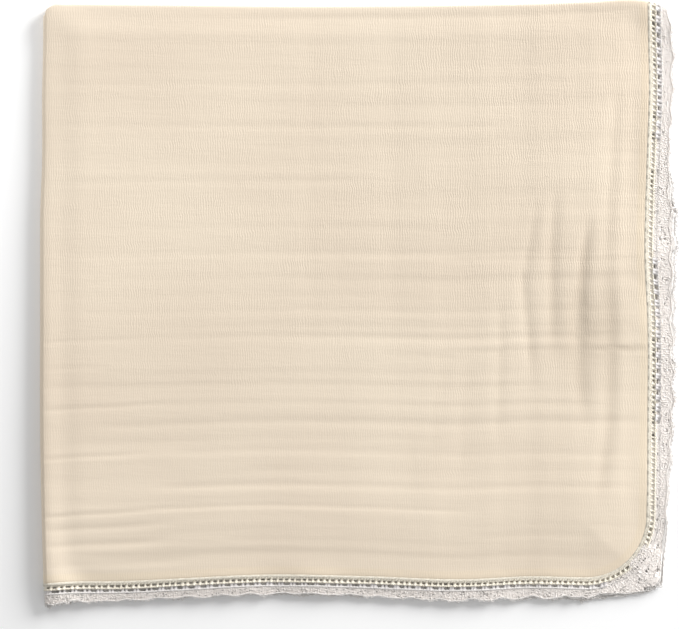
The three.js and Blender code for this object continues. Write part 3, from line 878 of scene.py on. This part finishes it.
def joined_end(lace):
    """The plain end of the edging, turned under and sewn down over its beginning at the corner."""
    along = SIDE_END + np.linspace(*JOINED_RUN, 9)
    run, distance = np.meshgrid(along, np.linspace(*JOINED_OUT, 5), indexing="ij")
    wander = rng.uniform(-0.25, 0.25, (2, *run.shape))
    bend = 0.95 + 0.15 * np.cos((run - along[0]) / 1.9)
    lace.add_ground(run + wander[0], distance + wander[1], bend, 0.15)


def lace_piece(name, quarter, first, last, materials):
    """The crochet of one quarter of the edging, from one stitch to another."""
    lace = Threads(quarter, first, last)
    heading(lace)
    first_row(lace)
    second_row(lace)
    fan_ground(lace)
    fan_stitches(lace)
    fan_edge(lace)
    if lace.fine and lace.end > CORNER_END:
        curls(lace)
        joined_end(lace)
    return lace.build(name, materials)


# ---------- materials
YARN_TWIST = 1.1  # mm along a yarn for one turn of its plies
GLOSS = 0.2
MUSLIN_BUMP = 0.000138  # m, as is the next
YARN_BUMP = 0.0001


class Look:
    """A material, with short ways to add the nodes that make its colour and its bump."""

    def __init__(self, name, color, roughness, sheen=0.0, sheen_roughness=0.5):
        self.material = bpy.data.materials.new(name)
        self.material.use_nodes = True
        tree = self.material.node_tree
        self.nodes, self.links = tree.nodes, tree.links
        self.inputs = self.nodes["Principled BSDF"].inputs
        self.inputs["Base Color"].default_value = (*color, 1)
        self.inputs["Roughness"].default_value = roughness
        self.inputs["Specular IOR Level"].default_value = GLOSS
        self.inputs["Sheen Weight"].default_value = sheen
        self.inputs["Sheen Roughness"].default_value = sheen_roughness

    def feed(self, socket, value):
        """Links another node's output to an input, or sets the input to a value."""
        if isinstance(value, bpy.types.NodeSocket):
            self.links.new(value, socket)
        else:
            socket.default_value = value

    def node(self, kind, inputs=None, **settings):
        made = self.nodes.new(kind)
        for key, value in settings.items():
            setattr(made, key, value)
        for name, value in (inputs or {}).items():
            self.feed(made.inputs[name], value)
        return made

    def math(self, operation, *values):
        made = self.node("ShaderNodeMath", operation=operation)
        for socket, value in zip(made.inputs, values):
            self.feed(socket, value)
        return made.outputs[0]

    def times(self, first, second):
        return self.math("MULTIPLY", first, second)

    def plus(self, first, second):
        return self.math("ADD", first, second)

    def sine(self, value):
        return self.math("SINE", value)

    def split(self, vector):
        return self.node("ShaderNodeSeparateXYZ", {"Vector": vector}).outputs

    def value_of(self, attribute):
        return self.node("ShaderNodeAttribute", attribute_name=attribute).outputs["Fac"]

    def noise(self, vector, scale, detail, roughness=0.5, shift=(0, 0, 0)):
        """Noise that is finer or coarser in each direction, by its scale there."""
        mapping = self.node("ShaderNodeMapping", {"Vector": vector, "Scale": scale, "Location": shift})
        inputs = {"Vector": mapping.outputs[0], "Scale": 1.0, "Detail": detail, "Roughness": roughness}
        return self.node("ShaderNodeTexNoise", inputs).outputs["Fac"]

    def ramp(self, value, *stops):
        made = self.node("ShaderNodeValToRGB", {"Fac": value})
        for element, (position, color) in zip(made.color_ramp.elements, stops):
            element.position = position
            element.color = (*color, 1)
        return made.outputs["Color"]

    def fade(self, value, start, end, low, high):
        """`low` before start, `high` after end, and a smooth change between them."""
        inputs = {"Value": value, "From Min": start, "From Max": end, "To Min": low, "To Max": high}
        return self.node("ShaderNodeMapRange", inputs, interpolation_type="SMOOTHSTEP").outputs[0]

    def tinted(self, color, share, tint):
        """A colour multiplied by a tint, as far as the share says."""
        inputs = {"Factor": share, "A": color, "B": (*tint, 1)}
        return self.node("ShaderNodeMix", inputs, data_type="RGBA", blend_type="MULTIPLY").outputs["Result"]

    def surface(self, color, height, strength, distance):
        """Ends the nodes at the shader, and gives the material."""
        bump = self.node("ShaderNodeBump", {"Strength": strength, "Distance": distance, "Height": height})
        self.feed(self.inputs["Normal"], bump.outputs[0])
        self.feed(self.inputs["Base Color"], color)
        return self.material


def muslin_color(look, where, x, y):
    """Cream cotton that drifts a little, with painted shade in the creases and deep hollows and at the upper
    left, painted light at the lower left, and yellower along the double hem.
    """
    drift = look.noise(where, (5, 6, 5), 2)
    color = look.ramp(drift, (0.3, (0.75, 0.638, 0.51)), (0.7, (0.80, 0.692, 0.555)))
    # Painted shade at the upper left takes back some of the fill lamp's light, and painted light at the lower
    # left brightens the cloth there
    upper_left = look.times(look.fade(x, -0.27, -0.08, 1.0, 0.0), look.fade(y, 0.02, 0.2, 0.0, 1.0))
    color = look.tinted(color, upper_left, (0.95, 0.95, 0.95))
    lower_left = look.times(look.fade(x, 0.04, 0.2, 1.0, 0.0), look.fade(y, -0.24, -0.1, 1.0, 0.0))
    color = look.tinted(color, lower_left, (1.045, 1.05, 1.055))
    # Painted shade in the creases and deep hollows
    creased = look.fade(look.value_of("hollow"), 0.0, 1.7, 0.0, 1.0)
    color = look.tinted(color, creased, (0.83, 0.82, 0.81))
    hem = look.fade(look.value_of("from_edge"), 7, 10, 0.6, 0.0)
    return look.tinted(color, hem, (1.0, 0.985, 0.93))


def muslin_height(look, where, x, y):
    """The crinkle: fine upright pleats that start and stop, stronger to the right, over a plain weave."""
    times, plus = look.times, look.plus
    bend = look.noise(where, (70, 85, 70), 3)
    pleat = look.sine(plus(times(x, math.tau / PLEAT), times(bend, 16.0)))
    strength = look.noise(where, (26, 60, 26), 3, shift=(3, 1, 0))
    strength = times(strength, look.fade(x, -0.1, 0.25, 0.75, 1.0))
    strength = times(strength, look.fade(y, -0.22, 0.1, 0.5, 1.25))
    cockle = look.noise(where, (240, 60, 240), 3, 0.6)
    level = look.noise(where, (24, 200, 24), 2, 0.6)
    picks = look.noise(where, (60, 430, 60), 2, 0.6)
    weave = times(look.sine(times(x, math.tau / WEAVE)), look.sine(times(y, math.tau / WEAVE)))
    height = plus(times(times(pleat, strength), 0.55), times(times(cockle, strength), 1.8))
    height = plus(plus(height, times(level, 0.8)), times(weave, 0.06))
    return plus(height, times(times(picks, strength), 1.5))


def muslin_material():
    look = Look("muslin_double_gauze", (0.76, 0.66, 0.53), 0.92, sheen=0.12, sheen_roughness=0.6)
    where = look.node("ShaderNodeTexCoord").outputs["Object"]
    x, y = look.split(where)[:2]
    return look.surface(muslin_color(look, where, x, y), muslin_height(look, where, x, y), 1.0, MUSLIN_BUMP)


def yarn_material(name, dark, light):
    """Mottled cotton yarn with fine plies. Its UV runs along each yarn in millimetres and once around it."""
    look = Look(name, light, 0.85, sheen=0.1)
    where = look.node("ShaderNodeTexCoord").outputs
    color = look.ramp(look.noise(where["Object"], (420, 420, 420), 3), (0.3, dark), (0.7, light))
    thread = look.split(where["UV"])
    along = look.times(thread["X"], math.tau / YARN_TWIST)
    ply = look.sine(look.plus(along, look.times(thread["Y"], 2 * math.tau)))
    fuzz = look.noise(where["Object"], (1500, 1500, 1500), 2)
    return look.surface(color, look.plus(ply, look.times(fuzz, 1.2)), 0.7, YARN_BUMP)


# ---------- the blanket
muslin = build_muslin(muslin_material())
yarns = [
    yarn_material("lace_cotton", (0.90, 0.835, 0.785), (0.985, 0.93, 0.885)),
    yarn_material("lace_heading", (0.75, 0.69, 0.58), (0.87, 0.815, 0.70)),
    # The next three are the cotton painted darker: shade on the lower layers, chains, cord and loops; deep
    # shade in curls and gaps; shade on the second row's posts
    yarn_material("lace_shaded", (0.72, 0.69, 0.66), (0.86, 0.83, 0.80)),
    yarn_material("lace_painted_deep_shade", (0.34, 0.325, 0.31), (0.46, 0.44, 0.42)),
    yarn_material("lace_posts_painted_shade", (0.57, 0.54, 0.53), (0.72, 0.69, 0.675)),
]
laces = [
    lace_piece("lace_top_right", TOP_QUARTER, 0, SPLIT, yarns),
    lace_piece("lace_top_bottom", TOP_QUARTER, SPLIT, ALL_STITCHES, yarns),
    lace_piece("lace_under", (-1, 1), 0, ALL_STITCHES, yarns),
    lace_piece("lace_inner", SECOND_QUARTER, 0, ALL_STITCHES, yarns),
    lace_piece("lace_inner_low", (-1, -1), 0, ALL_STITCHES, yarns),
]
for piece in laces:
    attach(piece, "root")
    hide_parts("lace_trim")
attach(muslin, "root")
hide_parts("muslin")

# ---------- floor, light and camera, m
TABLE_SIZE = 14
TABLE_GAP = 0.0003  # below the blanket
WORLD_STRENGTH = 0.43
KEY_DISTANCE = 5.0
KEY_AZIMUTH = 36  # degrees, as is the next
KEY_ELEVATION = 18
CAMERA_HEIGHT = 6.0
BLANKET_HEIGHT = 0.01
FRAME_WIDTH = 0.645  # what the photograph shows from side to side, at the height of the blanket
FRAME_MIDDLE = (-0.0188, -0.0105)
SENSOR_WIDTH = 36  # mm

bpy.ops.mesh.primitive_plane_add(size=TABLE_SIZE, location=(0, 0, -TABLE_GAP))
floor = bpy.context.object
floor.name = "floor"
floor.data.materials.append(Look("floor", (0.97, 0.97, 0.97), 0.95).material)

world = bpy.data.worlds.new("studio")
bpy.context.scene.world = world
world.use_nodes = True
background = world.node_tree.nodes["Background"].inputs
background["Color"].default_value = (1, 1, 1, 1)
background["Strength"].default_value = WORLD_STRENGTH


def disk_light(name, size, energy, location, tilt, turn):
    """A round light, tilted up from straight down and turned about the vertical, in degrees."""
    disk = bpy.data.lights.new(name, "AREA")
    disk.shape = "DISK"
    disk.size = size
    disk.energy = energy
    light = bpy.data.objects.new(name, disk)
    light.location = location
    light.rotation_euler = (math.radians(tilt), 0, math.radians(turn))
    bpy.context.scene.collection.objects.link(light)
    return light


azimuth, elevation = math.radians(KEY_AZIMUTH), math.radians(KEY_ELEVATION)
key_reach = KEY_DISTANCE * math.cos(elevation)
key_place = (key_reach * math.cos(azimuth), key_reach * math.sin(azimuth), KEY_DISTANCE * math.sin(elevation))
disk_light("key", size=3.3, energy=445, location=key_place, tilt=90 - KEY_ELEVATION, turn=KEY_AZIMUTH + 90)
# Two small lights brighten the upper left and the lower edge, and don't show themselves
fill = disk_light("fill", size=0.5, energy=1.45, location=(-0.60, 0.50, 0.36), tilt=58, turn=225)
fill.visible_camera = False
low = disk_light("low", size=0.7, energy=1.2, location=(0.3, -1.0, 0.45), tilt=62, turn=16)
low.visible_camera = False

camera = bpy.data.objects.new("camera", bpy.data.cameras.new("camera"))
camera.data.sensor_width = SENSOR_WIDTH
camera.data.lens = SENSOR_WIDTH * (CAMERA_HEIGHT - BLANKET_HEIGHT) / FRAME_WIDTH
camera.location = (*FRAME_MIDDLE, CAMERA_HEIGHT)
bpy.context.scene.collection.objects.link(camera)
bpy.context.scene.camera = camera
bpy.context.scene.view_settings.view_transform = "Standard"
